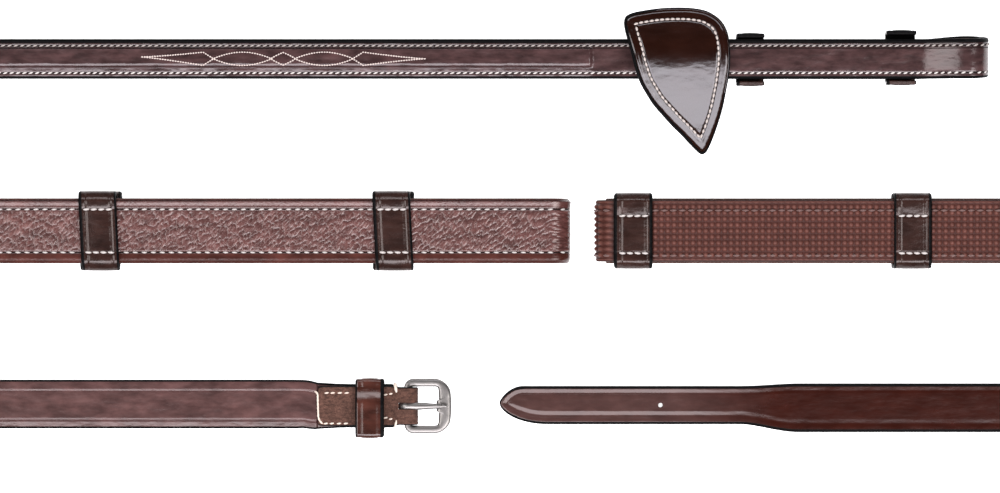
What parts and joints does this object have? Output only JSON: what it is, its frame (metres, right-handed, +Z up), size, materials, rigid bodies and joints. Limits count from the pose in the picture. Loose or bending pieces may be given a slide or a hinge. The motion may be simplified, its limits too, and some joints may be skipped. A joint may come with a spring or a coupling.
{
  "type": "leather reins",
  "caption": "Pair of leather riding reins laid out in rows, with rubber-backed grips, sewn hand stops, hook-stud bit loops, martingale stops, and a buckle end and a punched tip end.",
  "frame": {"origin": "middle of the laid-out pair, at the level it lies on", "axes": "+X along the rows, +Y from the buckle row towards the bit rows, +Z up from the surface it lies on"},
  "size_m": [0.5626, 0.2011, 0.0288],
  "materials": {
    "bridle_leather": "waxed smooth havana brown bridle leather",
    "grained_leather": "pebble-grained leather",
    "dark_leather": "waxed, black painted edges",
    "lining_leather": "matt",
    "rubber_back": "matt with fine pimples",
    "steel": "brushed stainless"
  },
  "bodies": {
    "grip_a": {"grip_core_a": "lining_leather", "grip_leather_a": "grained_leather", "grip_rubber_a": "rubber_back", "hand_stop_a1": "dark_leather", "hand_stop_a2": "dark_leather", "hand_stop_a3": "dark_leather", "hand_stop_a4": "dark_leather", "hand_stop_a5": "dark_leather", "hand_stop_a6": "dark_leather"},
    "buckle_end_a": {"buckle_strap": "bridle_leather"},
    "buckle_keeper": {"buckle_keeper": "dark_leather"},
    "buckle_frame": {"buckle_frame": "steel"},
    "buckle_tongue": {"buckle_tongue": "steel"},
    "bit_end_a": {"bit_strap_a": "bridle_leather", "bit_lining_a": "lining_leather", "panel_filler_a": "lining_leather", "hook_stud_a": "steel", "inner_keeper_a": "dark_leather", "outer_keeper_a": "dark_leather"},
    "martingale_stop_a": {"martingale_stop_backing_a": "lining_leather", "martingale_stop_face_a": "bridle_leather", "martingale_stop_loop_a": "lining_leather"},
    "grip_b": {"grip_core_b": "lining_leather", "grip_leather_b": "grained_leather", "grip_rubber_b": "rubber_back", "hand_stop_b1": "dark_leather", "hand_stop_b2": "dark_leather", "hand_stop_b3": "dark_leather", "hand_stop_b4": "dark_leather", "hand_stop_b5": "dark_leather"},
    "tip_end_b": {"tip_strap": "bridle_leather"},
    "bit_end_b": {"bit_strap_b": "bridle_leather", "bit_lining_b": "lining_leather", "panel_filler_b": "lining_leather", "hook_stud_b": "steel", "inner_keeper_b": "dark_leather", "outer_keeper_b": "dark_leather"},
    "martingale_stop_b": {"martingale_stop_backing_b": "lining_leather", "martingale_stop_face_b": "bridle_leather", "martingale_stop_loop_b": "lining_leather"}
  },
  "joints": [
    {"name": "buckle_end_bend", "type": "hinge", "parent": "grip_a", "child": "buckle_end_a", "pos_m": [-0.27908, -0.06273, 0.0152], "axis": [0, 0, -1], "range_deg": [-5, 25]},
    {"name": "buckle_keeper_slide", "type": "slide", "parent": "buckle_end_a", "child": "buckle_keeper", "axis": [1, 0, 0], "range_m": [-0.007, 0.002]},
    {"name": "buckle_frame_hinge", "type": "hinge", "parent": "buckle_end_a", "child": "buckle_frame", "pos_m": [-0.0505, -0.0901, 0.0054], "axis": [0, -1, 0], "range_deg": [-5, 35]},
    {"name": "buckle_tongue_hinge", "type": "hinge", "parent": "buckle_frame", "child": "buckle_tongue", "pos_m": [-0.0505, -0.0901, 0.0054], "axis": [0, -1, 0], "range_deg": [0, 50]},
    {"name": "bit_end_a_bend", "type": "hinge", "parent": "grip_a", "child": "bit_end_a", "pos_m": [-0.27882, -0.00072, 0.0152], "axis": [0, 0, 1], "range_deg": [-2, 3]},
    {"name": "martingale_stop_a_slide", "type": "slide", "parent": "bit_end_a", "child": "martingale_stop_a", "axis": [1, 0, 0], "range_m": [-0.01, 0.002]},
    {"name": "half_b_slide", "type": "slide", "parent": "grip_a", "child": "grip_b", "axis": [1, 0, 0], "range_m": [-0.006, 0.12]},
    {"name": "tip_end_bend", "type": "hinge", "parent": "grip_b", "child": "tip_end_b", "pos_m": [0.25083, -0.06338, 0.0152], "axis": [0, 0, 1], "range_deg": [-5, 25]},
    {"name": "bit_end_b_bend", "type": "hinge", "parent": "grip_b", "child": "bit_end_b", "pos_m": [0.27877, 0.02813, 0.0152], "axis": [0, 0, -1], "range_deg": [0, 25]},
    {"name": "martingale_stop_b_slide", "type": "slide", "parent": "bit_end_b", "child": "martingale_stop_b", "axis": [-1, 0, 0], "range_m": [-0.01, 0.002]}
  ]
}
